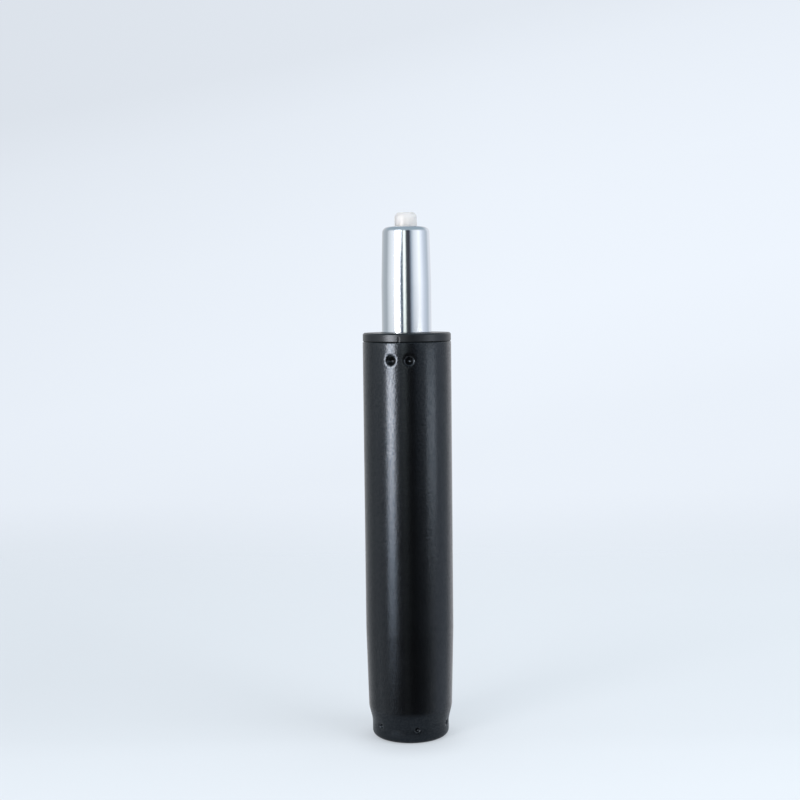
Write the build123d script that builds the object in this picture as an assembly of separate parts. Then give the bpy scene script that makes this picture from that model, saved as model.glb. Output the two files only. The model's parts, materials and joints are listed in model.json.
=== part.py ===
from build123d import *
from math import cos, radians, sin
import os

# Gas lift cylinder of an office chair, shown fully lowered and standing on its foot.
# Millimetres. Origin: centre of the foot, on the surface it stands on. +Z: up the lift.
# The front, which carries the collar's notch and two of the crimps, faces -Y.

# General fits
fit_gap = 0.05          # radial gap of parts that sit in each other
running_gap = 0.08      # radial gap of parts that turn or slide in each other
face_gap = 0.1          # gap between flat faces that turn over each other
stop_gap = 0.3          # gap between the tube and its lower stop

# Stand tube
column_r = 25.0
column_wall = 1.5
column_top = 226.0
cone_slope = 1 / 40     # a 1:20 cone, counted on the diameter
base_cone_top = 62.0
shoulder_top = 17.0
shoulder_round = 12.0
neck_top = 9.0
neck_r = 21.9
foot_lip_r = 17.0
foot_round = 2.8
rim_round = 0.5

# Crimps that hold the bushing and the base cup
crimp_z = 216.0
crimp_angles = (-21.7, 2.5, 158.3, 182.5)
crimp_depth = 1.9
crimp_floor_r = 1.9
crimp_mouth_r = 2.7
foot_crimp_z = 7.7
foot_crimp_first_angle = 9.5
foot_crimp_count = 6
foot_crimp_depth = 1.1
foot_crimp_floor_r = 1.0
foot_crimp_mouth_r = 1.6
crimp_skin = 0.9        # wall left under a crimp's floor

# Guide bushing
collar_r = 24.9
collar_top = 230.75
collar_bevel = 0.8
collar_foot_bevel = 0.35
wiping_lip_height = 0.3
wiping_lip_width = 0.5
bushing_bottom = 142.0
bushing_groove_depth = 1.65
bushing_groove_half = 4.2
pocket_count = 8
pocket_inner_r = 17.5
pocket_outer_r = 21.0
pocket_rib = 3.0
pocket_top = 206.0
notch_angle = -10.5
notch_width = 1.7
notch_height = 2.8
notch_depth = 0.95
notch_turn = -4.0

# Base cup and thrust bearing
cup_plate_bottom = 9.0
cup_plate_top = 12.0
cup_skirt_inner_r = 17.9
cup_groove_depth = 0.85
cup_groove_half = 2.6
cup_corner = 1.7
race_inner_r = 5.2
race_outer_r = 12.2
race_face = 1.4         # thickness of a race beside its ball groove
ball_r = 2.0
ball_count = 10
ball_track_r = 9.0
ball_z = 15.0
bearing_top = 18.0
cage_thickness = 1.4
cage_inner_r = 6.4
cage_outer_r = 11.6

# Piston rod and what it carries
rod_r = 5.0
rod_end_r = 4.0
rod_bottom = 2.5
rod_chamfer = 0.8
clip_bottom = 6.1
clip_thickness = 1.2
clip_groove_r = 3.2
clip_outer_r = 7.5
clip_washer_r = 8.5
clip_washer_thickness = 1.5
bumper_r = 12.0
bumper_waist_r = 10.8
bumper_height = 10.0
bumper_washer_thickness = 1.0
piston_bottom = 206.0
piston_length = 16.0
piston_r = 9.8
piston_groove_bottom = 5.0   # above the piston's lower face
piston_groove_height = 4.0
piston_groove_r = 8.2
piston_washer_r = 8.0
piston_washer_thickness = 1.5
nut_flats = 13.0
nut_height = 5.5
rod_thread_end = 1.5    # rod past its nut

# Pressure tube
tube_r = 14.0
tube_wall = 1.5
tube_top = 290.0
seat_cone_bottom = 258.0
tube_top_round = 3.2
tube_top_lip_r = 9.5
tube_bottom_round = 2.0
tube_bottom_lip_r = 8.0

# Inner tube and the stack at the tube's lower end
inner_tube_r = 11.0
inner_bore_r = 10.0
inner_tube_top = 240.0
end_disc_thickness = 3.0
end_disc_round = 0.9
end_disc_bore_r = 5.6
seal_height = 9.0
seal_lip_inner_r = 7.0
seal_lip_outer_r = 10.5
seal_lip_depth = 3.0
backing_thickness = 1.5
guide_height = 25.7
o_ring_r = 0.8          # cord radius
o_ring_groove_half = 1.6
guide_groove_z = 12.3   # above the guide's lower face
flow_flange = 2.5
flow_spigot = 3.5
flow_slot_count = 6
flow_slot_r = 1.5

# Release valve
valve_spigot = 4.0      # length inside the inner tube
valve_seat_top = 248.0
valve_flute_count = 8
valve_flute_r = 1.2
pin_head_bore_r = 4.6
pin_head_bore_top = 241.5
pin_seal_r = 6.0
pin_seal_height = 2.0
spacer_height = 6.0
spacer_r = 9.0
spacer_bore_r = 3.4
cross_hole_r = 1.1
cross_hole_count = 4
channel_r = 11.5
channel_height = 5.0
valve_body_top = 272.0
valve_groove_z = 256.2
retainer_floor_top = 276.0
retainer_rim = 0.9      # rim standing in the tube's rolled top
retainer_bore_r = 7.4
retainer_shelf = 2.3
pin_r = 2.5
pin_head_r = 4.0
pin_bottom = 238.0
pin_head_top = 241.2
pin_neck_r = 1.8
pin_neck_bottom = 248.4
pin_neck_top = 253.4
pin_top = 291.0
button_r = 6.25
button_top = 298.0
button_bottom = 283.8
button_flange_r = 7.2
button_flange_top = 286.0
button_crown_drop = 2.0
button_crown_in = 1.3
button_round = 0.7

# Heights that follow from the sizes above
column_bore_r = column_r - column_wall
neck_bore_r = neck_r - column_wall
tube_bore_r = tube_r - tube_wall
bumper_washer_bottom = bearing_top + bumper_height
tube_bottom = bumper_washer_bottom + bumper_washer_thickness + stop_gap
end_disc_bottom = tube_bottom + tube_wall
seal_bottom = end_disc_bottom + end_disc_thickness
backing_bottom = seal_bottom + seal_height
guide_bottom = backing_bottom + backing_thickness
flow_bottom = guide_bottom + guide_height
inner_tube_bottom = flow_bottom + flow_flange
nut_bottom = piston_bottom + piston_length + piston_washer_thickness
spacer_top = valve_seat_top + spacer_height
tube_bore_top = tube_top - tube_wall


def turned(*corners):
    """Solid turned about Z from corners of (radius, height, corner rounding)."""
    points = [(radius, height) for radius, height, _ in corners]
    rounds = [rounding for _, _, rounding in corners]
    outline = FilletPolyline(*points, radius=rounds, close=True)
    return revolve(Plane.XZ * make_face(outline), axis=Axis.Z)


def ring(inner_r, outer_r, bottom, top, rounding=0.0):
    """Plain ring about Z, with its outer edges rounded."""
    return turned(
        (inner_r, bottom, 0.0),
        (outer_r, bottom, rounding),
        (outer_r, top, rounding),
        (inner_r, top, 0.0),
    )


def at_front(angle, radius, height):
    """Place on a round wall, with local Z outwards. The angle runs from -Y towards +X."""
    out = Vector(sin(radians(angle)), -cos(radians(angle)), 0)
    return Location(Plane(origin=out * radius + Vector(0, 0, height), x_dir=(0, 0, 1), z_dir=out))


def seat_cone_r(height, wall=0.0):
    """Radius of the pressure tube at a height on its upper cone."""
    return tube_r - wall - (height - seat_cone_bottom) * cone_slope


def crimp_bump(depth, floor_r, wall):
    """Metal that a crimp pushes inwards, measured from the outer surface."""
    reach = depth + crimp_skin
    return turned(
        (0, -reach, 0),
        (floor_r + crimp_skin * 0.6, -reach, crimp_skin * 0.6),
        (floor_r + crimp_skin * 1.6, -wall * 0.6, 0),
        (0, -wall * 0.6, 0),
    )


def crimp_pocket(depth, floor_r, mouth_r):
    """Punched pocket of a crimp, with a softened mouth."""
    return turned(
        (0, -depth, 0),
        (floor_r, -depth, floor_r * 0.45),
        (mouth_r, 0.12, mouth_r * 0.3),
        (mouth_r * 1.9, 0.5, 0),
        (mouth_r * 1.9, 3, 0),
        (0, 3, 0),
    )


def make_column_tube():
    """Stand tube: rolled foot, neck, shoulder, base cone, straight bore and crimps."""
    cone_foot_r = column_r - (base_cone_top - shoulder_top) * cone_slope
    tube = turned(
        (foot_lip_r, 0, 0.3),
        (neck_r, 0, foot_round),
        (neck_r, neck_top, shoulder_round),
        (cone_foot_r, shoulder_top, shoulder_round),
        (column_r, base_cone_top, 0),
        (column_r, column_top, rim_round),
        (column_bore_r, column_top, 0),
        (column_bore_r, base_cone_top, 0),
        (cone_foot_r - column_wall, shoulder_top, 0),
        (neck_bore_r, neck_top, 0),
        (neck_bore_r, column_wall, foot_round - column_wall),
        (foot_lip_r, column_wall, 0.3),
    )
    top_places = [at_front(angle, column_r, crimp_z) for angle in crimp_angles]
    foot_places = [
        at_front(foot_crimp_first_angle + turn * 360 / foot_crimp_count, neck_r, foot_crimp_z)
        for turn in range(foot_crimp_count)
    ]
    for place in top_places:
        tube += place * crimp_bump(crimp_depth, crimp_floor_r, column_wall)
    for place in foot_places:
        tube += place * crimp_bump(foot_crimp_depth, foot_crimp_floor_r, column_wall)
    for place in top_places:
        tube -= place * crimp_pocket(crimp_depth, crimp_floor_r, crimp_mouth_r)
    for place in foot_places:
        tube -= place * crimp_pocket(foot_crimp_depth, foot_crimp_floor_r, foot_crimp_mouth_r)
    return tube


def make_guide_bushing():
    """Moulded bushing: collar with a low lip round the bore, grooved sleeve with ribbed pockets."""
    sleeve_r = column_bore_r - fit_gap
    bore_r = tube_r + running_gap
    groove_r = column_bore_r - bushing_groove_depth
    bushing = turned(
        (bore_r, bushing_bottom, 0),
        (sleeve_r, bushing_bottom, 1.0),
        (sleeve_r, crimp_z - bushing_groove_half, 0),
        (groove_r, crimp_z - bushing_groove_half, 0),
        (groove_r, crimp_z + bushing_groove_half, 0),
        (sleeve_r, crimp_z + bushing_groove_half, 0),
        (sleeve_r, column_top, 0),
        (collar_r - collar_foot_bevel, column_top, 0),
        (collar_r, column_top + collar_foot_bevel, 0),
        (collar_r, collar_top - collar_bevel, 0.15),
        (collar_r - collar_bevel, collar_top, 0.15),
        (bore_r + wiping_lip_width + wiping_lip_height, collar_top, 0),
        (bore_r + wiping_lip_width, collar_top + wiping_lip_height, 0),
        (bore_r, collar_top + wiping_lip_height, 0),
    )
    pocket_ring = ring(pocket_inner_r, pocket_outer_r, bushing_bottom - 1, pocket_top)
    rib = Pos(0, 0, (bushing_bottom + pocket_top) / 2) * Box(3 * collar_r, pocket_rib, pocket_top)
    for turn in range(pocket_count // 2):
        pocket_ring -= Rot(0, 0, turn * 360 / pocket_count) * rib
    bushing -= pocket_ring
    notch = Rot(notch_turn, 0, 0) * Box(notch_height * 2, notch_width, notch_depth * 2)
    bushing -= at_front(notch_angle, collar_r, column_top) * notch
    return bushing


def make_base_cup():
    """Pressed plate with a skirt that stands on the tube's rolled foot."""
    outer_r = neck_bore_r - fit_gap
    groove_r = neck_bore_r - cup_groove_depth
    groove_bottom = foot_crimp_z - cup_groove_half
    groove_top = foot_crimp_z + cup_groove_half
    return turned(
        (cup_skirt_inner_r, column_wall, 0),
        (outer_r, column_wall, cup_corner),
        (outer_r, groove_bottom, 0),
        (groove_r, groove_bottom, 0),
        (groove_r, groove_top, 0),
        (outer_r, groove_top, 0),
        (outer_r, cup_plate_top, 0.4),
        (rod_end_r + running_gap, cup_plate_top, 0),
        (rod_end_r + running_gap, cup_plate_bottom, 0),
        (cup_skirt_inner_r, cup_plate_bottom, 1.0),
    )


def ball_track():
    """Groove that the balls leave clear in each race."""
    return Pos(0, 0, ball_z) * Torus(ball_track_r, ball_r + running_gap)


def make_lower_bearing_race():
    """Hardened washer on the base cup, grooved for the balls."""
    groove_face = cup_plate_top + race_face
    return ring(race_inner_r, race_outer_r, cup_plate_top, groove_face, 0.3) - ball_track()


def make_upper_bearing_race():
    """Hardened washer under the rod's shoulder, grooved for the balls."""
    groove_face = bearing_top - race_face
    return ring(rod_end_r + fit_gap, race_outer_r, groove_face, bearing_top, 0.3) - ball_track()


def ball_places():
    """Centres of the balls, evenly round the rod."""
    return [Rot(0, 0, turn * 360 / ball_count) * Pos(ball_track_r, 0, ball_z) for turn in range(ball_count)]


def make_bearing_cage():
    """Flat cage with one hole for each ball."""
    cage = ring(cage_inner_r, cage_outer_r, ball_z - cage_thickness / 2, ball_z + cage_thickness / 2, 0.2)
    for place in ball_places():
        cage -= place * Cylinder(ball_r + running_gap, cage_thickness * 2)
    return cage


def make_bearing_balls():
    """Balls of the thrust bearing, each its own solid."""
    return Compound(children=[place * Sphere(ball_r) for place in ball_places()])


def make_piston_rod():
    """Ground rod with a stepped, grooved lower end and a stepped upper end."""
    top = nut_bottom + nut_height + rod_thread_end
    clip_top = clip_bottom + clip_thickness
    return turned(
        (0, rod_bottom, 0),
        (rod_end_r - rod_chamfer, rod_bottom, 0),
        (rod_end_r, rod_bottom + rod_chamfer, 0),
        (rod_end_r, clip_bottom - fit_gap, 0),
        (clip_groove_r, clip_bottom - fit_gap, 0),
        (clip_groove_r, clip_top + fit_gap, 0),
        (rod_end_r, clip_top + fit_gap, 0),
        (rod_end_r, bearing_top, 0),
        (rod_r, bearing_top, 0),
        (rod_r, piston_bottom, 0),
        (rod_end_r, piston_bottom, 0),
        (rod_end_r, top - rod_chamfer, 0),
        (rod_end_r - rod_chamfer, top, 0),
        (0, top, 0),
    )


def make_clip_washer():
    """Washer between the base cup and the retaining clip."""
    top = cup_plate_bottom - face_gap
    return ring(rod_end_r + fit_gap, clip_washer_r, top - clip_washer_thickness, top, 0.3)


def make_retaining_clip():
    """Horseshoe clip that snaps into the rod's lower groove."""
    inner_r = clip_groove_r + fit_gap
    clip = ring(inner_r, clip_outer_r, clip_bottom, clip_bottom + clip_thickness)
    mouth = Pos(clip_outer_r / 2, 0, clip_bottom) * Box(clip_outer_r, inner_r * 2 * 0.9, clip_thickness * 4)
    clip -= mouth
    ear = Box(3, 2, clip_thickness, align=(Align.CENTER, Align.CENTER, Align.MIN))
    return clip + Pos(1 - clip_outer_r, 0, clip_bottom) * ear


def make_rubber_bumper():
    """Rubber ring that softens the lower stop, with a slight waist."""
    bottom = bearing_top
    middle = bearing_top + bumper_height / 2
    top = bumper_washer_bottom
    return turned(
        (rod_r + fit_gap, bottom, 0),
        (bumper_r, bottom, 1.0),
        (bumper_waist_r, middle, 2.0),
        (bumper_r, top, 1.0),
        (rod_r + fit_gap, top, 0),
    )


def make_bumper_washer():
    """Steel washer on the bumper, which the pressure tube lands on."""
    top = bumper_washer_bottom + bumper_washer_thickness
    return ring(rod_r + fit_gap, bumper_r, bumper_washer_bottom, top, 0.2)


def make_piston():
    """Piston on the rod's upper end, grooved for its seal."""
    groove_bottom = piston_bottom + piston_groove_bottom
    groove_top = groove_bottom + piston_groove_height
    return turned(
        (rod_end_r + fit_gap, piston_bottom, 0),
        (piston_r, piston_bottom, 0.6),
        (piston_r, groove_bottom, 0),
        (piston_groove_r, groove_bottom, 0),
        (piston_groove_r, groove_top, 0),
        (piston_r, groove_top, 0),
        (piston_r, piston_bottom + piston_length, 0.6),
        (rod_end_r + fit_gap, piston_bottom + piston_length, 0),
    )


def make_piston_seal():
    """Sealing ring in the piston's groove, running in the inner tube."""
    bottom = piston_bottom + piston_groove_bottom + fit_gap
    top = bottom + piston_groove_height - 2 * fit_gap
    return ring(piston_groove_r + fit_gap, inner_bore_r - fit_gap, bottom, top, 0.8)


def make_piston_washer():
    """Washer under the piston's nut."""
    bottom = piston_bottom + piston_length
    return ring(rod_end_r + fit_gap, piston_washer_r, bottom, nut_bottom, 0.2)


def make_piston_nut():
    """Hexagon nut that clamps the piston. Its thread is left plain."""
    outline = RegularPolygon(nut_flats / 2, 6, major_radius=False) - Circle(rod_end_r + fit_gap)
    blank = extrude(Pos(0, 0, nut_bottom) * outline, nut_height)
    corner_r = nut_flats / 2 / cos(radians(30))
    return blank & ring(0.5, corner_r, nut_bottom, nut_bottom + nut_height, 0.8)


def make_pressure_tube():
    """Chromed tube with a seat cone, rolled in at both ends."""
    return turned(
        (tube_bottom_lip_r, tube_bottom, 0.3),
        (tube_r, tube_bottom, tube_bottom_round),
        (tube_r, seat_cone_bottom, 0),
        (seat_cone_r(tube_top), tube_top, tube_top_round),
        (tube_top_lip_r, tube_top, 0.4),
        (tube_top_lip_r, tube_bore_top, 0.2),
        (seat_cone_r(tube_bore_top, tube_wall), tube_bore_top, tube_top_round - tube_wall),
        (tube_bore_r, seat_cone_bottom, 0),
        (tube_bore_r, end_disc_bottom, tube_bottom_round - tube_wall),
        (tube_bottom_lip_r, end_disc_bottom, 0.2),
    )


def make_inner_tube():
    """Thin tube that the piston runs in. Gas returns outside it."""
    return ring(inner_bore_r, inner_tube_r, inner_tube_bottom, inner_tube_top)


def make_end_disc():
    """Steel disc behind the tube's rolled lower end."""
    return ring(end_disc_bore_r, tube_bore_r - fit_gap, end_disc_bottom, seal_bottom, end_disc_round)


def make_rod_seal():
    """Lip seal round the rod, hollowed from above between its lips."""
    body = ring(rod_r + running_gap, tube_bore_r - fit_gap, seal_bottom, backing_bottom, 0.3)
    hollow = ring(seal_lip_inner_r, seal_lip_outer_r, backing_bottom - seal_lip_depth, backing_bottom + 1)
    return body - hollow


def make_seal_backing_disc():
    """Thin disc between the seal and the rod guide."""
    return ring(rod_r + 0.3, tube_bore_r - fit_gap, backing_bottom, guide_bottom)


def make_rod_guide():
    """Long bush that guides the rod, grooved outside for its O-ring."""
    outer_r = tube_bore_r - fit_gap
    groove_r = tube_bore_r - fit_gap - 2 * o_ring_r - fit_gap
    groove_z = guide_bottom + guide_groove_z
    return turned(
        (rod_r + running_gap, guide_bottom, 0.4),
        (outer_r, guide_bottom, 0.4),
        (outer_r, groove_z - o_ring_groove_half, 0),
        (groove_r, groove_z - o_ring_groove_half, 0),
        (groove_r, groove_z + o_ring_groove_half, 0),
        (outer_r, groove_z + o_ring_groove_half, 0),
        (outer_r, flow_bottom, 0.4),
        (rod_r + running_gap, flow_bottom, 0.4),
    )


def o_ring(height):
    """O-ring that seals against the pressure tube's bore."""
    return Pos(0, 0, height) * Torus(tube_bore_r - fit_gap - o_ring_r, o_ring_r)


def make_rod_guide_o_ring():
    """O-ring in the rod guide's groove."""
    return o_ring(guide_bottom + guide_groove_z)


def make_flow_disc():
    """Disc that centres the inner tube and lets gas pass at its edge."""
    disc = turned(
        (end_disc_bore_r, flow_bottom, 0),
        (tube_bore_r - fit_gap, flow_bottom, 0),
        (tube_bore_r - fit_gap, inner_tube_bottom, 0),
        (inner_bore_r - fit_gap, inner_tube_bottom, 0),
        (inner_bore_r - fit_gap, inner_tube_bottom + flow_spigot, 0.6),
        (end_disc_bore_r, inner_tube_bottom + flow_spigot, 0),
    )
    for turn in range(flow_slot_count):
        place = Rot(0, 0, turn * 360 / flow_slot_count) * Pos(tube_bore_r, 0, flow_bottom)
        disc -= place * Cylinder(flow_slot_r, flow_flange * 4)
    return disc


def make_valve_seat():
    """Lower half of the valve, standing in the inner tube."""
    seal_floor = valve_seat_top - pin_seal_height
    seat = turned(
        (pin_head_bore_r, inner_tube_top - valve_spigot, 0),
        (inner_bore_r - fit_gap, inner_tube_top - valve_spigot, 0.5),
        (inner_bore_r - fit_gap, inner_tube_top, 0),
        (tube_bore_r - fit_gap, inner_tube_top, 0),
        (tube_bore_r - fit_gap, valve_seat_top, 0),
        (pin_seal_r + fit_gap, valve_seat_top, 0),
        (pin_seal_r + fit_gap, seal_floor, 0),
        (pin_r + running_gap, seal_floor, 0),
        (pin_r + running_gap, pin_head_bore_top, 0),
        (pin_head_bore_r, pin_head_bore_top, 0.4),
    )
    for turn in range(valve_flute_count):
        place = Rot(0, 0, turn * 360 / valve_flute_count) * Pos(tube_bore_r, 0, valve_seat_top)
        seat -= place * Cylinder(valve_flute_r, 4 * (valve_seat_top - inner_tube_top))
    return seat


def pin_seal(bottom):
    """Rubber ring round the valve pin."""
    return ring(pin_r + running_gap, pin_seal_r, bottom, bottom + pin_seal_height, 0.3)


def make_lower_pin_seal():
    """Seal that the pin's neck opens when the button is pressed."""
    return pin_seal(valve_seat_top - pin_seal_height)


def make_upper_pin_seal():
    """Seal that keeps the gas from the button."""
    return pin_seal(spacer_top)


def cross_holes(reach):
    """Drillings that let gas out sideways, at the middle of the spacer."""
    height = valve_seat_top + channel_height / 2
    drill = Rot(0, 90, 0) * Cylinder(cross_hole_r, 2 * reach)
    return [Pos(0, 0, height) * Rot(0, 0, turn * 360 / cross_hole_count) * drill for turn in range(2)]


def make_valve_spacer():
    """Ring that keeps the two pin seals apart, drilled crosswise."""
    spacer = ring(spacer_bore_r, spacer_r, valve_seat_top, spacer_top, 0.3)
    for hole in cross_holes(spacer_r + 1):
        spacer -= hole
    return spacer


def make_valve_body():
    """Upper half of the valve, holding the spacer, a pin seal and an O-ring."""
    outer_r = tube_bore_r - fit_gap
    groove_r = outer_r - 2 * o_ring_r - fit_gap
    channel_top = valve_seat_top + channel_height
    groove_bottom = valve_groove_z - o_ring_groove_half
    groove_top = valve_groove_z + o_ring_groove_half
    seal_top = spacer_top + pin_seal_height
    body = turned(
        (spacer_r + fit_gap, valve_seat_top, 0),
        (channel_r, valve_seat_top, 0),
        (channel_r, channel_top, 0),
        (outer_r, channel_top, 0),
        (outer_r, groove_bottom, 0),
        (groove_r, groove_bottom, 0),
        (groove_r, groove_top, 0),
        (outer_r, groove_top, 0),
        (outer_r, seat_cone_bottom, 0),
        (seat_cone_r(valve_body_top, tube_wall + fit_gap), valve_body_top, 0),
        (pin_r + running_gap, valve_body_top, 0),
        (pin_r + running_gap, seal_top, 0),
        (pin_seal_r + fit_gap, seal_top, 0),
        (pin_seal_r + fit_gap, spacer_top, 0),
        (spacer_r + fit_gap, spacer_top, 0),
    )
    for hole in cross_holes(channel_r + 1):
        body -= hole
    return body


def make_valve_o_ring():
    """O-ring in the valve body's groove."""
    return o_ring(valve_groove_z)


def make_valve_retainer():
    """Top plug behind the tube's rolled end. It guides the button."""
    shelf_bottom = tube_bore_top - retainer_shelf
    return turned(
        (pin_r + running_gap, valve_body_top, 0),
        (seat_cone_r(valve_body_top, tube_wall + fit_gap), valve_body_top, 0),
        (seat_cone_r(tube_bore_top, tube_wall + fit_gap), tube_bore_top, tube_top_round - tube_wall),
        (tube_top_lip_r - fit_gap, tube_bore_top, 0),
        (tube_top_lip_r - fit_gap, tube_bore_top + retainer_rim, 0.3),
        (button_r + running_gap, tube_bore_top + retainer_rim, 0.3),
        (button_r + running_gap, shelf_bottom, 0),
        (retainer_bore_r, shelf_bottom, 0),
        (retainer_bore_r, retainer_floor_top, 0),
        (pin_r + running_gap, retainer_floor_top, 0),
    )


def make_valve_pin():
    """Valve pin with a sealing head below and a neck that lets gas pass."""
    return turned(
        (0, pin_bottom, 0),
        (pin_head_r, pin_bottom, 0.5),
        (pin_head_r, pin_head_top, 0.5),
        (pin_r, pin_head_top, 0),
        (pin_r, pin_neck_bottom - 0.7, 0),
        (pin_neck_r, pin_neck_bottom, 0),
        (pin_neck_r, pin_neck_top, 0),
        (pin_r, pin_neck_top + 0.7, 0),
        (pin_r, pin_top, 0.4),
        (0, pin_top, 0),
    )


def make_release_button():
    """Nylon button on the valve pin, with a bevelled crown and a hidden flange."""
    return turned(
        (pin_r + fit_gap, button_bottom, 0),
        (button_flange_r, button_bottom, 0.3),
        (button_flange_r, button_flange_top, 0.3),
        (button_r, button_flange_top, 0),
        (button_r, button_top - button_crown_drop, button_round),
        (button_r - button_crown_in, button_top, button_round),
        (0, button_top, 0),
        (0, pin_top + fit_gap, 0),
        (pin_r + fit_gap, pin_top + fit_gap, 0.4),
    )


makers = {
    "column_tube": make_column_tube,
    "guide_bushing": make_guide_bushing,
    "base_cup": make_base_cup,
    "lower_bearing_race": make_lower_bearing_race,
    "bearing_cage": make_bearing_cage,
    "bearing_balls": make_bearing_balls,
    "upper_bearing_race": make_upper_bearing_race,
    "piston_rod": make_piston_rod,
    "clip_washer": make_clip_washer,
    "retaining_clip": make_retaining_clip,
    "rubber_bumper": make_rubber_bumper,
    "bumper_washer": make_bumper_washer,
    "piston": make_piston,
    "piston_seal": make_piston_seal,
    "piston_washer": make_piston_washer,
    "piston_nut": make_piston_nut,
    "pressure_tube": make_pressure_tube,
    "inner_tube": make_inner_tube,
    "end_disc": make_end_disc,
    "rod_seal": make_rod_seal,
    "seal_backing_disc": make_seal_backing_disc,
    "rod_guide": make_rod_guide,
    "rod_guide_o_ring": make_rod_guide_o_ring,
    "flow_disc": make_flow_disc,
    "valve_seat": make_valve_seat,
    "lower_pin_seal": make_lower_pin_seal,
    "valve_spacer": make_valve_spacer,
    "upper_pin_seal": make_upper_pin_seal,
    "valve_body": make_valve_body,
    "valve_o_ring": make_valve_o_ring,
    "valve_retainer": make_valve_retainer,
    "valve_pin": make_valve_pin,
    "release_button": make_release_button,
}

os.makedirs("parts", exist_ok=True)
for node, make in makers.items():
    export_step(make(), f"parts/{node}.step")
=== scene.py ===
import bpy
import json
from math import cos, pi, radians, sin, tan
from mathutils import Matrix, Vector

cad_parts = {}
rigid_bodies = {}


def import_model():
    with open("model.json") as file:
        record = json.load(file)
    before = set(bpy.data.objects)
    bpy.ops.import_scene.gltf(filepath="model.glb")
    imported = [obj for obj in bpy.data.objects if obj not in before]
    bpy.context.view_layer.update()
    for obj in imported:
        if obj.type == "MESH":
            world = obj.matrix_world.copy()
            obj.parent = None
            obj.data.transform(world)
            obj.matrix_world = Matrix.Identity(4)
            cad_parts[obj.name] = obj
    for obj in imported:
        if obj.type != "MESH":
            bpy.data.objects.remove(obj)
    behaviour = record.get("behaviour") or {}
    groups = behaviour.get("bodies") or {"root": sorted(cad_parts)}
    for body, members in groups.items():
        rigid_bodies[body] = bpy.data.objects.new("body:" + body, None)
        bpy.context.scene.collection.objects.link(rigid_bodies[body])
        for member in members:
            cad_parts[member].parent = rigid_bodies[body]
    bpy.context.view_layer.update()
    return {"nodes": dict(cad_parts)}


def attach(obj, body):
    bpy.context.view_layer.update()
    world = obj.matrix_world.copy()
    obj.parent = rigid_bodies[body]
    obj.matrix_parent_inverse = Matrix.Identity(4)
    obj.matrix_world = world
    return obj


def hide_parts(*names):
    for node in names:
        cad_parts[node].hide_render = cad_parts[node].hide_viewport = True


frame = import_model()


# Camera. It stands in front of the lift, a little above its collar, and looks slightly down
# through a long lens, which keeps the tube's sides nearly parallel.
camera_lens = 60.45
camera_sensor = 36
camera_place = (-0.00363, -0.76, 0.249)
camera_down = 4.25
camera_lean = 0.62

camera_data = bpy.data.cameras.new("camera")
camera_data.lens = camera_lens
camera_data.sensor_width = camera_sensor
camera = bpy.data.objects.new("camera", camera_data)
bpy.context.collection.objects.link(camera)
camera.location = camera_place
camera.rotation_euler = (radians(90 - camera_down), radians(camera_lean), 0)
bpy.context.scene.camera = camera


# Stand tube. A drawn 50 mm steel tube with a 1:20 cone for the chair's base, a shoulder, a neck
# and a rolled-in foot. Punched crimps hold the bushing at the top and the base cup at the foot.
# It is powder coated in satin black, which leaves a fine orange peel.
MM = 0.001
tube_r = 25.0
tube_wall = 1.5
bore_r = tube_r - tube_wall
tube_top = 226.0
rim_rounding = 0.9
cone_top = 62.0
cone_rounding = 60
cone_foot_r = 23.875
shoulder_top = 17.0
shoulder_rounding = 12
neck_top = 9.0
neck_r = 21.9
foot_rounding = 2.8
foot_inner_rounding = 1.3
foot_lip_r = 17.0
foot_lip_rounding = 0.3
crimp_z = 216.0
crimp_angles = (-21.7, 2.5, 158.3, 182.5)
crimp_size = 1.0
crimp_band = 5.0
crimp_band_cuts = 26
foot_crimp_z = 8.3
foot_crimp_angles = (9.5, 69.5, 129.5, 189.5, 249.5, 309.5)
foot_crimp_size = 0.66
foot_band_bottom = 5.6
foot_band_cuts = 6
tube_steps = 448
tube_sharp_angle = 60


def round_tangent(before, corner, after, rounding):
    """Distance from a corner to where its rounding starts."""
    turn = (corner - before).angle(after - corner)
    return rounding * tan(turn / 2)


def select_near(piece, place):
    """Selects only the vertex nearest to a place, in edit mode."""
    bpy.ops.object.mode_set(mode="EDIT")
    bpy.ops.mesh.select_all(action="DESELECT")
    bpy.ops.object.mode_set(mode="OBJECT")
    nearest = min(piece.data.vertices, key=lambda vertex: (vertex.co - place).length_squared)
    nearest.select = True
    bpy.ops.object.mode_set(mode="EDIT")


def edge_between(mesh, one, other, reach=0.02 * MM):
    """Selects the edges that lie on the straight line between two places."""
    line = other - one
    for vertex in mesh.vertices:
        along = (vertex.co - one).dot(line) / line.length_squared
        off = (vertex.co - one - line * along).length
        vertex.select = off < reach and -0.001 < along < 1.001
    for edge in mesh.edges:
        edge.select = all(mesh.vertices[index].select for index in edge.vertices)


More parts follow.
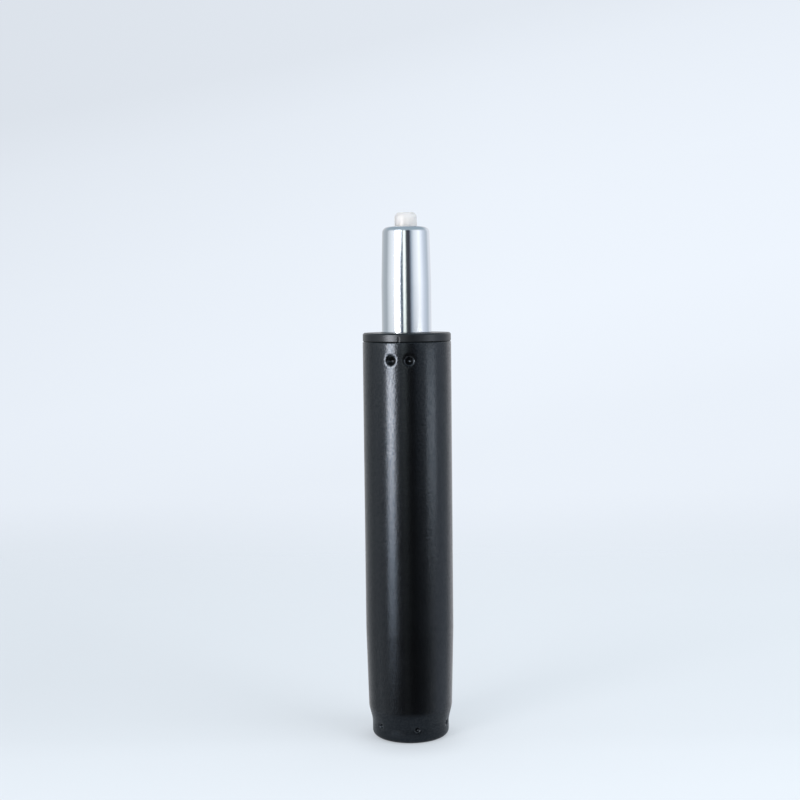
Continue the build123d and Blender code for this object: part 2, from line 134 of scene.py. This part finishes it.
def turned_piece(name, corners, steps, bands=(), merge_reach=0.002 * MM):
    """Draws half an outline edge by edge, rounds its corners and spins it about the lift's axis.

    A corner is (radius, height, rounding, segments). A band is (corner number, cuts) and divides
    the straight stretch after that corner. Lengths are millimetres.
    """
    places = [Vector((radius, 0, height)) * MM for radius, height, _, _ in corners]
    bpy.ops.object.select_all(action="DESELECT")
    bpy.ops.mesh.primitive_plane_add(size=MM, location=places[0])
    piece = bpy.context.object
    piece.name = name
    bpy.ops.object.transform_apply(location=True)
    bpy.ops.object.mode_set(mode="EDIT")
    bpy.ops.mesh.select_mode(type="VERT")
    bpy.ops.mesh.merge(type="CENTER")
    for here, there in zip(places, places[1:]):
        bpy.ops.mesh.extrude_vertices_move(TRANSFORM_OT_translate={"value": there - here})
    bpy.ops.mesh.select_all(action="SELECT")
    bpy.ops.mesh.edge_face_add()
    for number, (_, _, rounding, segments) in enumerate(corners):
        if not rounding:
            continue
        before = places[number - 1]
        after = places[(number + 1) % len(places)]
        tangent = round_tangent(before, places[number], after, rounding * MM)
        select_near(piece, places[number])
        bpy.ops.mesh.bevel(offset=tangent, offset_type="OFFSET", segments=segments,
                           affect="VERTICES", profile=0.5)
    bpy.ops.mesh.select_all(action="SELECT")
    bpy.ops.mesh.delete(type="ONLY_FACE")
    for number, cuts in bands:
        bpy.ops.object.mode_set(mode="OBJECT")
        edge_between(piece.data, places[number], places[(number + 1) % len(places)])
        bpy.ops.object.mode_set(mode="EDIT")
        bpy.ops.mesh.subdivide(number_cuts=cuts)
    bpy.ops.mesh.select_all(action="SELECT")
    bpy.ops.mesh.spin(steps=steps, angle=2 * pi, center=(0, 0, 0), axis=(0, 0, 1))
    bpy.ops.mesh.select_all(action="SELECT")
    bpy.ops.mesh.remove_doubles(threshold=merge_reach)
    bpy.ops.mesh.delete_loose()        # the part of an outline that runs along the axis
    bpy.ops.mesh.select_all(action="SELECT")
    bpy.ops.mesh.normals_make_consistent(inside=False)
    bpy.ops.object.mode_set(mode="OBJECT")
    bpy.ops.object.shade_smooth()
    return piece


def at_front(angle, radius, height):
    """Place on a round wall. The angle runs from the front towards the right, in degrees."""
    turn = radians(angle)
    return Vector((radius * sin(turn), -radius * cos(turn), height)) * MM


def punch(piece, place, depth, reach, falloff):
    """Pushes the wall in round its vertex nearest to a place, as a punch does."""
    inwards = Vector((-place.x, -place.y, 0)).normalized() * depth * MM
    select_near(piece, place)
    bpy.ops.transform.translate(value=inwards, use_proportional_edit=True,
                                proportional_edit_falloff=falloff, proportional_size=reach * MM,
                                use_proportional_connected=False)


# The three blows of a full-size crimp: depth, reach and how the dent fades. The pit lies deeper
# and a little lower, and the rings of vertices round it are smoothed together at the end.
saucer_blow = (0.6, 4.4, "SMOOTH")
bowl_blow = (1.1, 3.0, "SPHERE")
pit_blow = (1.3, 2.2, "LINEAR")
pit_behind = 1.2
pit_below = 0.5
eased_rings = 9
easing = 0.5
easing_rounds = 2


def crimp(piece, angle, radius, height, size):
    """Crimp: a saucer, then a bowl and a deeper pit a little lower. Its lip is eased."""
    blows = (
        (at_front(angle, radius, height), saucer_blow),
        (at_front(angle, radius - tube_wall, height), bowl_blow),
        (at_front(angle, radius - pit_behind * size, height - pit_below * size), pit_blow),
    )
    for place, (depth, reach, falloff) in blows:
        punch(piece, place, depth * size, reach * size, falloff)
    for _ in range(round(eased_rings * size)):
        bpy.ops.mesh.select_more()
    bpy.ops.mesh.vertices_smooth(factor=easing, repeat=easing_rounds)
    bpy.ops.object.mode_set(mode="OBJECT")


column = turned_piece("stand_tube", [
    (foot_lip_r, 0, foot_lip_rounding, 3),
    (neck_r, 0, foot_rounding, 10),
    (neck_r, foot_band_bottom, 0, 0),
    (neck_r, neck_top, shoulder_rounding, 8),
    (cone_foot_r, shoulder_top, shoulder_rounding, 8),
    (tube_r, cone_top, cone_rounding, 6),
    (tube_r, crimp_z - crimp_band, 0, 0),
    (tube_r, crimp_z + crimp_band, 0, 0),
    (tube_r, tube_top, rim_rounding, 8),
    (bore_r, tube_top, 0, 0),
    (bore_r, crimp_z + crimp_band, 0, 0),
    (bore_r, crimp_z - crimp_band, 0, 0),
    (bore_r, cone_top, 0, 0),
    (cone_foot_r - tube_wall, shoulder_top, shoulder_rounding, 8),
    (neck_r - tube_wall, neck_top, shoulder_rounding, 8),
    (neck_r - tube_wall, foot_band_bottom, 0, 0),
    (neck_r - tube_wall, tube_wall, foot_inner_rounding, 4),
    (foot_lip_r, tube_wall, foot_lip_rounding, 3),
], tube_steps, bands=[(2, foot_band_cuts), (6, crimp_band_cuts), (10, crimp_band_cuts)])
for crimp_angle in crimp_angles:
    crimp(column, crimp_angle, tube_r, crimp_z, crimp_size)
for crimp_angle in foot_crimp_angles:
    crimp(column, crimp_angle, neck_r, foot_crimp_z, foot_crimp_size)
bpy.ops.object.shade_smooth_by_angle(angle=radians(tube_sharp_angle))


def open_group(name, inputs, outputs):
    """New shader node group. An input is (name, value), an output is its name."""
    group = bpy.data.node_groups.new(name, "ShaderNodeTree")
    for label, value in inputs:
        socket = group.interface.new_socket(label, in_out="INPUT", socket_type="NodeSocketFloat")
        socket.default_value = value
    for label in outputs:
        group.interface.new_socket(label, in_out="OUTPUT", socket_type="NodeSocketFloat")
    return group, group.nodes.new("NodeGroupInput"), group.nodes.new("NodeGroupOutput")


def feed(tree, socket, value):
    """Gives a socket another node's output, or a plain number or colour."""
    if isinstance(value, bpy.types.NodeSocket):
        tree.links.new(value, socket)
    else:
        socket.default_value = value


def noise_at(tree, coordinates, scale, detail=2.0, roughness=0.5):
    """Noise texture node on the given coordinates."""
    noise = tree.nodes.new("ShaderNodeTexNoise")
    noise.inputs["Detail"].default_value = detail
    noise.inputs["Roughness"].default_value = roughness
    feed(tree, noise.inputs["Vector"], coordinates)
    feed(tree, noise.inputs["Scale"], scale)
    return noise.outputs["Fac"]


def calculate(tree, operation, *values, clamp=False):
    """Math node. A value is a number or another node's output."""
    node = tree.nodes.new("ShaderNodeMath")
    node.operation = operation
    node.use_clamp = clamp
    for socket, value in zip(node.inputs, values):
        feed(tree, socket, value)
    return node.outputs["Value"]


def object_place(tree):
    """Coordinates fixed to the piece, in metres."""
    return tree.nodes.new("ShaderNodeTexCoord").outputs["Object"]


# The skin of a cured coat or of a moulding: waves of a length in millimetres, with finer ripples.
per_metre = 1000.0
ripples_per_wave = 2.6
ripple_share = 0.3
orange_peel, enter, leave = open_group("orange_peel", [("Wave", 1.2)], ["Height"])
spot = object_place(orange_peel)
wave_scale = calculate(orange_peel, "DIVIDE", per_metre, enter.outputs["Wave"])
waves = noise_at(orange_peel, spot, wave_scale, detail=1.0)
ripple_scale = calculate(orange_peel, "DIVIDE", ripples_per_wave * per_metre, enter.outputs["Wave"])
ripples = noise_at(orange_peel, spot, ripple_scale, detail=0.0)
fine = calculate(orange_peel, "MULTIPLY", ripples, ripple_share)
feed(orange_peel, leave.inputs["Height"], calculate(orange_peel, "ADD", waves, fine))

# What hands leave: broad smears and small prints, as a change that runs around zero.
smear_scale = 45.0
print_scale = 210.0
print_share = 0.35
handling_middle = 0.67
handling, enter, leave = open_group("handling", [("Amount", 1.0)], ["Change"])
spot = object_place(handling)
smears = noise_at(handling, spot, smear_scale, detail=3.0, roughness=0.6)
prints = noise_at(handling, spot, print_scale)
mixed = calculate(handling, "ADD", smears, calculate(handling, "MULTIPLY", prints, print_share))
centred = calculate(handling, "SUBTRACT", mixed, handling_middle)
change = calculate(handling, "MULTIPLY", centred, enter.outputs["Amount"])
feed(handling, leave.inputs["Change"], change)

# The grains of the powder, which gloss over unevenly: dots of a size in millimetres.
speckle_contrast = 3.5
speckle, enter, leave = open_group("speckle", [("Size", 0.6), ("Amount", 0.5)], ["Weight"])
dot_scale = calculate(speckle, "DIVIDE", per_metre, enter.outputs["Size"])
dots = noise_at(speckle, object_place(speckle), dot_scale, detail=0.0)
sharp = calculate(speckle, "MULTIPLY", calculate(speckle, "SUBTRACT", dots, 0.5), speckle_contrast)
even = calculate(speckle, "ADD", sharp, 0.5, clamp=True)
weight = calculate(speckle, "MULTIPLY", even, enter.outputs["Amount"])
feed(speckle, leave.inputs["Weight"], weight)


def new_finish(name, color, roughness, metallic=0.0):
    """Material with a Principled shader, ready for its own nodes."""
    finish = bpy.data.materials.new(name)
    finish.use_nodes = True
    shader = finish.node_tree.nodes["Principled BSDF"]
    shader.inputs["Base Color"].default_value = (*color, 1)
    shader.inputs["Roughness"].default_value = roughness
    shader.inputs["Metallic"].default_value = metallic
    return finish, finish.node_tree, shader


def place_group(tree, group, **values):
    """Puts a shared effect in a material, with this material's values."""
    node = tree.nodes.new("ShaderNodeGroup")
    node.node_tree = group
    for label, value in values.items():
        node.inputs[label].default_value = value
    return node.outputs[0]


def mixed_color(tree, factor, one, other):
    """Mix of two colours. Each is a node's output or four numbers."""
    mix = tree.nodes.new("ShaderNodeMix")
    mix.data_type = "RGBA"
    feed(tree, mix.inputs["Factor"], factor)
    feed(tree, mix.inputs["A"], one)
    feed(tree, mix.inputs["B"], other)
    return mix.outputs["Result"]


def show_handling(tree, shader, amount, low, high, roughness):
    """Handling moves the base colour between two shades, and the roughness about its middle."""
    change = place_group(tree, handling, Amount=amount)
    share = calculate(tree, "ADD", change, 0.5, clamp=True)
    feed(tree, shader.inputs["Base Color"], mixed_color(tree, share, (*low, 1), (*high, 1)))
    feed(tree, shader.inputs["Roughness"], calculate(tree, "ADD", change, roughness, clamp=True))


def raise_relief(tree, shader, height, depth):
    """Bump of a given depth in millimetres from a height of 0 to 1."""
    bump = tree.nodes.new("ShaderNodeBump")
    bump.inputs["Distance"].default_value = depth * MM
    feed(tree, bump.inputs["Height"], height)
    feed(tree, shader.inputs["Normal"], bump.outputs["Normal"])


def dress(piece, finish):
    """Gives a piece one finish all over."""
    piece.data.materials.clear()
    piece.data.materials.append(finish)


powder_low = (0.0012, 0.0013, 0.0015)
powder_high = (0.002, 0.0021, 0.0024)
powder_roughness = 0.235
powder_relief = 0.065
powder_handled = 0.12
powder_coat, tree, shader = new_finish("black_powder_coat", powder_low, powder_roughness)
shader.inputs["Specular IOR Level"].default_value = 0.42
shader.inputs["Specular Tint"].default_value = (0.66, 0.82, 1.0, 1)
shader.inputs["Coat Roughness"].default_value = powder_roughness
feed(tree, shader.inputs["Coat Weight"], place_group(tree, speckle, Size=0.75, Amount=0.42))
show_handling(tree, shader, powder_handled, powder_low, powder_high, powder_roughness)
raise_relief(tree, shader, place_group(tree, orange_peel, Wave=1.2), powder_relief)
dress(column, powder_coat)
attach(column, "column")
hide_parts("column_tube")


# Guide bushing. One black moulding pressed into the stand tube: the collar that shows on the
# tube's rim, with its small notch, and the long sleeve inside that guides the chromed tube.
bushing = frame["nodes"]["guide_bushing"]


def moulded_finish(name, low, high, roughness, handled, wave, relief):
    """Moulded plastic or rubber, with its fine skin. A wave and the relief are millimetres."""
    finish, tree, shader = new_finish(name, low, roughness)
    show_handling(tree, shader, handled, low, high, roughness)
    raise_relief(tree, shader, place_group(tree, orange_peel, Wave=wave), relief)
    return finish, shader


black_moulding, shader = moulded_finish(
    "black_moulding", low=(0.003, 0.0033, 0.004), high=(0.005, 0.0054, 0.006),
    roughness=0.33, handled=0.15, wave=0.35, relief=0.006)
shader.inputs["Specular Tint"].default_value = (0.80, 0.90, 1.0, 1)
dress(bushing, black_moulding)


# Base cup, washers, discs, nut and the valve's spacer and retainer. The cup carries the load at
# the foot, and the others back the clip, bumper, piston, seals and valve. They are pressed or
# turned from steel and zinc plated.
marks_detail = 2.0
metal_handled = 0.3
turned_marks, enter, leave = open_group("turned_marks", [("Pitch", 0.08)], ["Height"])
split = turned_marks.nodes.new("ShaderNodeSeparateXYZ")
feed(turned_marks, split.inputs["Vector"], object_place(turned_marks))
across = calculate(turned_marks, "POWER", split.outputs["X"], 2.0)
deep = calculate(turned_marks, "POWER", split.outputs["Y"], 2.0)
radius_here = calculate(turned_marks, "SQRT", calculate(turned_marks, "ADD", across, deep))
along = calculate(turned_marks, "ADD", radius_here, split.outputs["Z"])
along_mm = calculate(turned_marks, "MULTIPLY", along, per_metre)
marks = turned_marks.nodes.new("ShaderNodeTexNoise")
marks.noise_dimensions = "1D"
marks.inputs["Detail"].default_value = marks_detail
marks.inputs["Scale"].default_value = 1.0
feed(turned_marks, marks.inputs["W"],
     calculate(turned_marks, "DIVIDE", along_mm, enter.outputs["Pitch"]))
feed(turned_marks, leave.inputs["Height"], marks.outputs["Fac"])


def metal_finish(name, low, high, roughness, pitch, relief):
    """Bare or plated metal, turned about the lift's axis. Pitch and relief are millimetres."""
    finish, tree, shader = new_finish(name, low, roughness, metallic=1.0)
    show_handling(tree, shader, metal_handled, low, high, roughness)
    raise_relief(tree, shader, place_group(tree, turned_marks, Pitch=pitch), relief)
    return finish


zinc_steel = metal_finish("zinc_steel", low=(0.48, 0.49, 0.50), high=(0.60, 0.61, 0.63),
                          roughness=0.34, pitch=0.12, relief=0.006)
for node in ("base_cup", "bumper_washer", "clip_washer", "piston_washer", "piston_nut", "end_disc",
             "seal_backing_disc", "valve_spacer", "valve_retainer"):
    dress(frame["nodes"][node], zinc_steel)


# Thrust bearing. Hardened, polished races and balls in a turned brass cage, which lie loose
# between the base cup and the rod's shoulder, so that the seat can turn.
bearing_steel = metal_finish("bearing_steel", low=(0.56, 0.56, 0.57), high=(0.66, 0.66, 0.67),
                             roughness=0.16, pitch=0.05, relief=0.002)
brass = metal_finish("brass", low=(0.62, 0.43, 0.17), high=(0.74, 0.54, 0.24),
                     roughness=0.28, pitch=0.1, relief=0.005)
for node in ("lower_bearing_race", "upper_bearing_race", "bearing_balls"):
    dress(frame["nodes"][node], bearing_steel)
dress(frame["nodes"]["bearing_cage"], brass)


# Piston rod, inner tube and valve pin. A seal slides on or in each of them, so their steel is
# ground smooth.
ground_steel = metal_finish("ground_steel", low=(0.58, 0.59, 0.60), high=(0.68, 0.69, 0.70),
                            roughness=0.2, pitch=0.06, relief=0.003)
for node in ("piston_rod", "inner_tube", "valve_pin"):
    dress(frame["nodes"][node], ground_steel)


# Retaining clip. A horseshoe stamped from spring steel, with a black oxide skin. It snaps into
# the rod's lower groove.
black_steel = metal_finish("black_steel", low=(0.035, 0.035, 0.038), high=(0.06, 0.06, 0.064),
                           roughness=0.42, pitch=0.3, relief=0.004)
dress(frame["nodes"]["retaining_clip"], black_steel)


# Piston, rod guide, flow disc and the two valve halves. Die-cast zinc, machined where they seal
# or slide. The nut holds the piston on its rod, and the tube's rolled ends hold the others.
cast_zinc = metal_finish("cast_zinc", low=(0.42, 0.43, 0.45), high=(0.54, 0.55, 0.57),
                         roughness=0.4, pitch=0.2, relief=0.008)
for node in ("piston", "rod_guide", "flow_disc", "valve_seat", "valve_body"):
    dress(frame["nodes"][node], cast_zinc)


# Bumper, lip seal and sealing rings. Moulded black rubber, slipped onto the rod and the pin or
# laid in the grooves of the cast parts.
black_rubber, shader = moulded_finish(
    "black_rubber", low=(0.012, 0.012, 0.012), high=(0.024, 0.024, 0.023),
    roughness=0.62, handled=0.25, wave=0.25, relief=0.012)
for node in ("rubber_bumper", "rod_seal", "piston_seal", "rod_guide_o_ring", "valve_o_ring",
             "lower_pin_seal", "upper_pin_seal"):
    dress(frame["nodes"][node], black_rubber)


# Pressure tube. A 28 mm steel tube with a 1:20 cone for the seat's mechanism, rolled in at both
# ends round what it holds, ground and chromed.
chrome_r = 14.0
chrome_wall = 1.5
chrome_bore_r = chrome_r - chrome_wall
chrome_bottom = 29.3
chrome_foot_rounding = 2.0
chrome_lip_r = 8.0
chrome_top = 290.0
chrome_top_r = 13.2
chrome_top_bore_r = chrome_top_r - chrome_wall + 0.0375
chrome_top_rounding = 3.2
chrome_mouth_r = 9.5
seat_cone_bottom = 258.0
chrome_steps = 256
chrome_sharp_angle = 50
chrome = turned_piece("chromed_tube", [
    (chrome_lip_r, chrome_bottom, 0.3, 3),
    (chrome_r, chrome_bottom, chrome_foot_rounding, 8),
    (chrome_r, seat_cone_bottom, cone_rounding, 6),
    (chrome_top_r, chrome_top, chrome_top_rounding, 14),
    (chrome_mouth_r, chrome_top, 0.4, 4),
    (chrome_mouth_r, chrome_top - chrome_wall, 0.2, 2),
    (chrome_top_bore_r, chrome_top - chrome_wall, chrome_top_rounding - chrome_wall, 6),
    (chrome_bore_r, seat_cone_bottom, 0, 0),
    (chrome_bore_r, chrome_bottom + chrome_wall, chrome_foot_rounding - chrome_wall, 4),
    (chrome_lip_r, chrome_bottom + chrome_wall, 0.2, 2),
], chrome_steps)
bpy.ops.object.shade_smooth_by_angle(angle=radians(chrome_sharp_angle))

chrome_low = (0.67, 0.72, 0.77)
chrome_high = (0.69, 0.74, 0.79)
chrome_roughness = 0.08
chrome_relief = 0.018
chrome_handled = 0.06
ground_share = 0.15
chrome_plate, tree, shader = new_finish("chrome_plate", chrome_low, chrome_roughness, metallic=1.0)
show_handling(tree, shader, chrome_handled, chrome_low, chrome_high, chrome_roughness)
marks = place_group(tree, turned_marks, Pitch=0.06)
grain = place_group(tree, orange_peel, Wave=0.5)
ground = calculate(tree, "MULTIPLY", marks, ground_share)
raise_relief(tree, shader, calculate(tree, "ADD", ground, grain), chrome_relief)
dress(chrome, chrome_plate)
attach(chrome, "gas_cylinder")
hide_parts("pressure_tube")


# Release button. Milky nylon with a bevelled crown, pushed onto the valve pin. Its flange under
# the tube's rolled end keeps it in.
button_r = 6.25
button_top = 298.0
crown_height = 2.0
crown_inset = 1.3
flange_r = 7.2
flange_bottom = 283.8
flange_top = 286.0
flange_rounding = 0.3
socket_r = 2.55
socket_top = 291.05
button_steps = 128
button_sharp_angle = 50
button = turned_piece("release_knob", [
    (socket_r, flange_bottom, 0, 0),
    (flange_r, flange_bottom, flange_rounding, 3),
    (flange_r, flange_top, flange_rounding, 3),
    (button_r, flange_top, 0, 0),
    (button_r, button_top - crown_height, 1.5, 8),
    (button_r - crown_inset, button_top, 1.3, 8),
    (0, button_top, 0, 0),
    (0, socket_top, 0, 0),
    (socket_r, socket_top, 0.4, 3),
], button_steps)
bpy.ops.object.shade_smooth_by_angle(angle=radians(button_sharp_angle))

white_nylon, shader = moulded_finish(
    "white_nylon", low=(0.75, 0.75, 0.745), high=(0.79, 0.79, 0.785),
    roughness=0.5, handled=0.2, wave=0.8, relief=0.01)
shader.inputs["Transmission Weight"].default_value = 0.45
shader.inputs["Coat Weight"].default_value = 0.4
shader.inputs["Coat Roughness"].default_value = 0.2
shader.inputs["Subsurface Weight"].default_value = 1.0
shader.inputs["Subsurface Radius"].default_value = (0.02, 0.0195, 0.018)
shader.inputs["Subsurface Scale"].default_value = 1.0
dress(button, white_nylon)
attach(button, "release")
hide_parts("release_button")


# Floor. A wide sheet of pale paper that takes the lift's shadow. It glows a little of its own, and
# a painted shadow lowers that glow right before the foot. It fades into the backdrop behind and in
# front of the lift. Shiny surfaces mirror only the part of it close to the foot.
floor_size = (6, 3.5)
floor_middle = 1.25
floor_color = (0.311, 0.33, 0.349)
floor_roughness = 0.9
floor_tint = (0.945, 1.0, 1.06)
floor_glow = 0.42
floor_levels = [(-0.093, 1.06), (-0.04, 1.03), (-0.006, 0.98), (0.063, 0.97), (0.108, 0.965),
                (0.343, 1.02)]        # distance behind the lift's axis, light level
floor_rise_right = 0.10
floor_rise_slope = 3.2
rise_start = 0.8
# painted shadow before the foot: its centre ahead of the axis, radius, fade and darkest glow level
painted_shade_ahead = 0.012
painted_shade_r = 0.008
painted_shade_fade = 0.031
painted_shade_level = 0.76
floor_mirrored_r = 0.03
floor_mirrored_fade = 0.035
floor_mirrored_glow = 0.1
floor_near = -0.13
floor_fade_near = 0.07
floor_far = 0.12
floor_fade_far = 0.85


def level_ramp(tree, factor, stops):
    """Colour ramp node over stops of (place, light level) or (place, red, green, blue)."""
    node = tree.nodes.new("ShaderNodeValToRGB")
    first = stops[0][0]
    span = stops[-1][0] - first
    elements = node.color_ramp.elements
    while len(elements) < len(stops):
        elements.new(0.5)
    for element, (place, *color) in zip(elements, stops):
        element.position = (place - first) / span
        element.color = (*(color if len(color) == 3 else color * 3), 1)
    along = calculate(tree, "DIVIDE", calculate(tree, "SUBTRACT", factor, first), span)
    feed(tree, node.inputs["Fac"], along)
    return node.outputs["Color"]


def scaled_color(tree, color, level):
    """A colour scaled by a light level. The colour is a node's output or three numbers."""
    node = tree.nodes.new("ShaderNodeVectorMath")
    node.operation = "SCALE"
    feed(tree, node.inputs[0], color)
    feed(tree, node.inputs["Scale"], level)
    return node.outputs["Vector"]


def ranged(tree, value, start, stop, low=0.0, high=1.0, smooth=False):
    """Value that goes from low to high while the given one goes from start to stop."""
    node = tree.nodes.new("ShaderNodeMapRange")
    node.interpolation_type = "SMOOTHSTEP" if smooth else "LINEAR"
    node.inputs["From Min"].default_value = start
    node.inputs["From Max"].default_value = stop
    feed(tree, node.inputs["To Min"], low)
    node.inputs["To Max"].default_value = high
    feed(tree, node.inputs["Value"], value)
    return node.outputs["Result"]


def distance_from(tree, place):
    """Distance over the floor from a place, in metres."""
    node = tree.nodes.new("ShaderNodeVectorMath")
    node.operation = "DISTANCE"
    feed(tree, node.inputs[0], object_place(tree))
    node.inputs[1].default_value = place
    return node.outputs["Value"]


bpy.ops.object.select_all(action="DESELECT")
bpy.ops.mesh.primitive_plane_add(size=1)
floor = bpy.context.object
floor.name = "floor"
bpy.ops.object.mode_set(mode="EDIT")
bpy.ops.mesh.select_all(action="SELECT")
bpy.ops.transform.resize(value=(*floor_size, 1))
bpy.ops.transform.translate(value=(0, floor_middle, 0))
bpy.ops.object.mode_set(mode="OBJECT")

floor_paper, tree, shader = new_finish("floor_paper", floor_color, floor_roughness)
shader.inputs["Specular IOR Level"].default_value = 0.0
split = tree.nodes.new("ShaderNodeSeparateXYZ")
feed(tree, split.inputs["Vector"], object_place(tree))
rightwards = calculate(tree, "ADD", calculate(tree, "MULTIPLY", split.outputs["X"], floor_rise_slope),
                       rise_start, clamp=True)
glow = calculate(tree, "ADD", level_ramp(tree, split.outputs["Y"], floor_levels),
                 calculate(tree, "MULTIPLY", rightwards, floor_rise_right))
feed(tree, shader.inputs["Emission Color"], scaled_color(tree, floor_tint, glow))

ray = tree.nodes.new("ShaderNodeLightPath")
# Painted shadow: the glow that the camera sees is lowered just before the foot.
glow_under_painted_shade = ranged(tree, distance_from(tree, (0, -painted_shade_ahead, 0)),
                   painted_shade_r, painted_shade_r + painted_shade_fade, low=painted_shade_level, smooth=True)
seen_glow = calculate(tree, "MULTIPLY", ray.outputs["Is Camera Ray"],
                      calculate(tree, "MULTIPLY", glow_under_painted_shade, floor_glow))
mirrored_glow = calculate(tree, "MULTIPLY", ray.outputs["Is Glossy Ray"], floor_mirrored_glow)
feed(tree, shader.inputs["Emission Strength"], calculate(tree, "ADD", seen_glow, mirrored_glow))

near_fade = ranged(tree, split.outputs["Y"], floor_near - floor_fade_near, floor_near, smooth=True)
far_fade = ranged(tree, split.outputs["Y"], floor_far + floor_fade_far, floor_far, smooth=True)
past_mirrored = ranged(tree, distance_from(tree, (0, 0, 0)),
                       floor_mirrored_r, floor_mirrored_r + floor_mirrored_fade, smooth=True)
hidden = calculate(tree, "MULTIPLY", ray.outputs["Is Glossy Ray"], past_mirrored)
shown = calculate(tree, "SUBTRACT", 1.0, hidden)
feed(tree, shader.inputs["Alpha"],
     calculate(tree, "MULTIPLY", calculate(tree, "MULTIPLY", near_fade, far_fade), shown))
dress(floor, floor_paper)


# Lamps. A bright key softbox stands front left, with a weaker one above it and a cool one below
# it that carry its streak up and down the tubes, and a low fill stands at the right. Three more
# light the lift and the floor without being mirrored: overhead, middle left and high right.
lamp_distance = 1.3
key_white = (1.0, 0.985, 0.975)
fill_white = (0.97, 0.985, 1.0)


def softbox(name, azimuth, low, high, width, radiance, color, distance=lamp_distance, mirrored=True):
    """Area lamp that faces the lift's axis. Its azimuth runs from the front to the right."""
    lamp_data = bpy.data.lights.new(name, "AREA")
    lamp_data.shape = "RECTANGLE"
    lamp_data.size = width
    lamp_data.size_y = high - low
    lamp_data.energy = radiance * pi * width * (high - low)
    lamp_data.color = color
    lamp = bpy.data.objects.new(name, lamp_data)
    bpy.context.collection.objects.link(lamp)
    turn = radians(azimuth)
    lamp.location = (distance * sin(turn), -distance * cos(turn), (low + high) / 2)
    aim = Vector((-lamp.location.x, -lamp.location.y, 0))
    lamp.rotation_euler = aim.to_track_quat("-Z", "Y").to_euler()
    lamp.visible_glossy = mirrored
    return lamp


softbox("key_softbox", azimuth=-43.5, low=-0.02, high=0.45, width=0.42, radiance=18.7,
        color=(1.0, 0.915, 0.885))
softbox("high_key_softbox", azimuth=-38, low=0.45, high=1.2, width=0.8, radiance=2.3,
        color=key_white)
softbox("low_key_softbox", azimuth=-45, low=-0.22, high=-0.02, width=0.46, radiance=4.7,
        color=(0.83, 0.90, 1.0))
softbox("fill_softbox", azimuth=63, low=-0.04, high=0.15, width=0.6, radiance=3.0,
        color=(0.97, 0.98, 1.0))
overhead = softbox("overhead_softbox", azimuth=0, low=0.8, high=2.4, width=1.6, radiance=1.0,
                   color=fill_white, distance=0, mirrored=False)
overhead.rotation_euler = (0, 0, 0)
softbox("middle_key_softbox", azimuth=-17, low=0.45, high=1.2, width=0.8, radiance=1.3,
        color=key_white, mirrored=False)
softbox("high_fill_softbox", azimuth=64, low=0.3, high=1.3, width=1.2, radiance=3.8,
        color=fill_white, mirrored=False)


# Studio walls and backdrop. The camera sees a pale backdrop with soft bands of light across it.
# The lift mirrors the walls instead: bright screens with dark gaps between them, which get darker
# below the horizon, under a plain grey ceiling.
wall_levels = [                       # azimuth in degrees, red, green, blue
    (-180, 0.82, 0.83, 0.86), (-150, 0.67, 0.69, 0.71), (-125, 0.54, 0.57, 0.60),
    (-103, 0.50, 0.53, 0.55), (-96, 0.70, 0.73, 0.76), (-84, 0.94, 0.96, 0.98),
    (-60, 1.24, 1.25, 1.27), (-28, 1.30, 1.32, 1.34),
    (-25, 0.09, 0.13, 0.20), (-16, 0.07, 0.10, 0.15), (-14, 1.60, 1.62, 1.52),
    (-4, 1.45, 1.52, 1.40), (0, 0.10, 0.11, 0.12), (16, 0.05, 0.05, 0.06), (23, 0.38, 0.43, 0.50),
    (36, 0.94, 0.97, 1.02), (64, 1.42, 1.40, 1.40), (76, 1.18, 1.20, 1.28),
    (90, 0.84, 0.88, 0.97), (104, 0.68, 0.73, 0.81), (120, 0.62, 0.66, 0.71),
    (128, 0.86, 0.88, 0.93), (140, 0.94, 0.95, 1.00), (180, 0.82, 0.83, 0.86),
]
wall_foot = -0.15
wall_lit = 0.01
front_depth = -0.7
back_depth = 0.1
front_level = 0.08
back_level = 0.88
ceiling_color = (0.42, 0.50, 0.56, 1)
ceiling_start = 0.35
ceiling_slope = 3.0
sweep_tint = (0.937, 1.0, 1.085)
sweep_levels = [(-0.35, 0.88), (-0.249, 0.80), (-0.177, 0.83), (-0.118, 0.835), (-0.089, 0.85),
                (-0.03, 0.865), (0.06, 0.85), (0.118, 0.826), (0.147, 0.81), (0.19, 0.765),
                (0.26, 0.765)]        # height of the view direction, light level
sweep_rise_right = 0.05
sweep_rise_slope = 2.8
sweep_slope = 0.22

world = bpy.data.worlds.new("studio")
bpy.context.scene.world = world
world.use_nodes = True
tree = world.node_tree
background = tree.nodes["Background"]
direction = tree.nodes.new("ShaderNodeTexCoord").outputs["Generated"]
split = tree.nodes.new("ShaderNodeSeparateXYZ")
feed(tree, split.inputs["Vector"], direction)
across, deep, upward = split.outputs

azimuth = calculate(tree, "ARCTAN2", across, calculate(tree, "MULTIPLY", deep, -1.0))
walls = level_ramp(tree, calculate(tree, "MULTIPLY", azimuth, 180 / pi), wall_levels)
low_level = ranged(tree, deep, front_depth, back_depth, low=front_level, high=back_level)
falling = ranged(tree, upward, wall_foot, wall_lit, low=low_level)
above_walls = calculate(tree, "MULTIPLY", calculate(tree, "SUBTRACT", upward, ceiling_start),
                        ceiling_slope, clamp=True)
surround = mixed_color(tree, above_walls, scaled_color(tree, walls, falling), ceiling_color)

rightwards = calculate(tree, "ADD", calculate(tree, "MULTIPLY", across, sweep_rise_slope),
                       rise_start, clamp=True)
sloped = calculate(tree, "SUBTRACT", upward, calculate(tree, "MULTIPLY", across, sweep_slope))
level = calculate(tree, "ADD", level_ramp(tree, sloped, sweep_levels),
                  calculate(tree, "MULTIPLY", rightwards, sweep_rise_right))
sweep = scaled_color(tree, sweep_tint, level)
seen = tree.nodes.new("ShaderNodeLightPath").outputs["Is Camera Ray"]
feed(tree, background.inputs["Color"], mixed_color(tree, seen, surround, sweep))

bpy.context.scene.view_settings.view_transform = "Standard"
